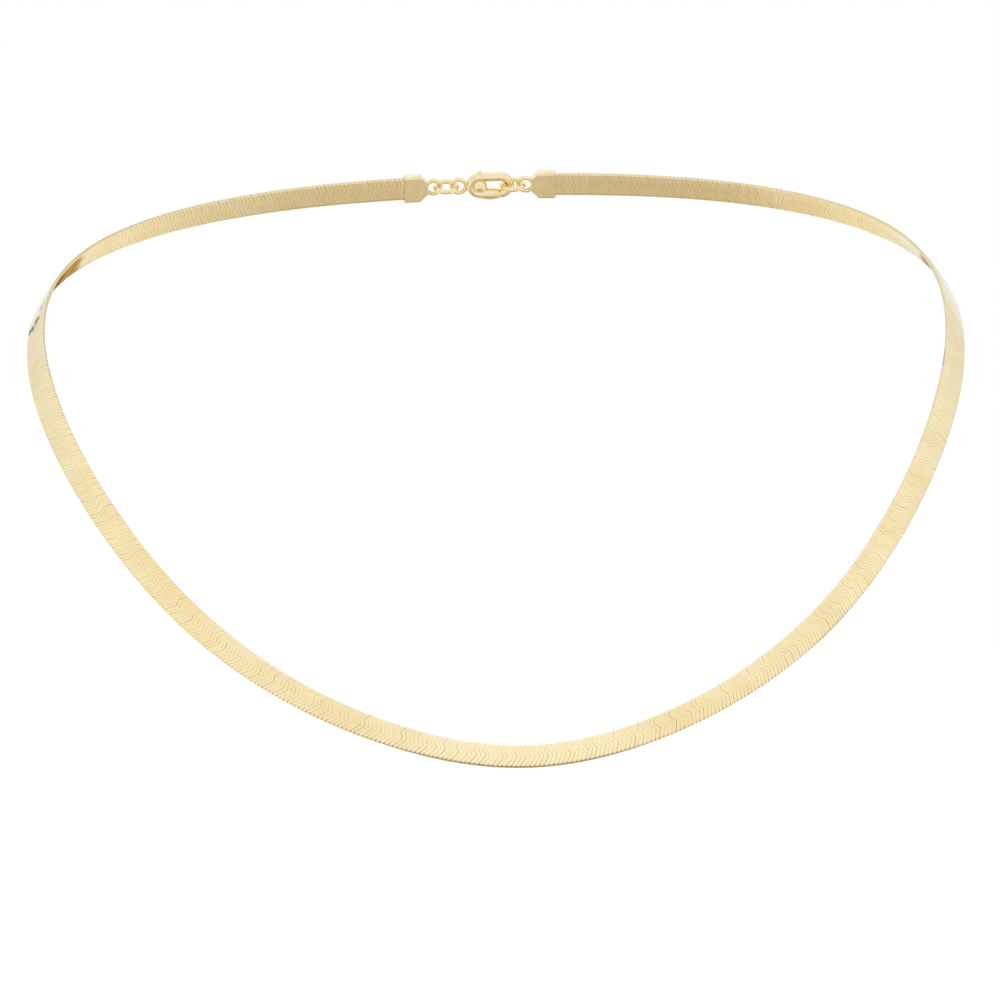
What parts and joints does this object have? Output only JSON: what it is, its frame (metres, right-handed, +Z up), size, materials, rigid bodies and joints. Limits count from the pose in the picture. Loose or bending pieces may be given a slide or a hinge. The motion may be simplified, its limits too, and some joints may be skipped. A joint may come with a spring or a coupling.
{
  "type": "herringbone chain necklace",
  "caption": "Flat herringbone chain necklace in its worn form: one woven gold band, closed at the nape by end caps, jump rings and a lobster clasp.",
  "frame": {"origin": "the point at the middle of the nape where the inner side of the clasp rests on the neck", "axes": "+X to the viewer's right, +Y from the front of the neck to the nape, +Z up"},
  "size_m": [0.1482, 0.1139, 0.094],
  "materials": {
    "polished_gold_weave": "polished pale yellow gold, flattened herringbone links with fine grooves between them",
    "polished_gold_findings": "polished pale yellow gold"
  },
  "bodies": {
    "root": {"woven_band": "polished_gold_weave", "end_cap_tail": "polished_gold_findings", "end_cap_catch": "polished_gold_findings", "jump_ring_tail": "polished_gold_findings", "jump_ring_catch": "polished_gold_findings", "lobster_clasp": "polished_gold_findings"}
  },
  "joints": []
}
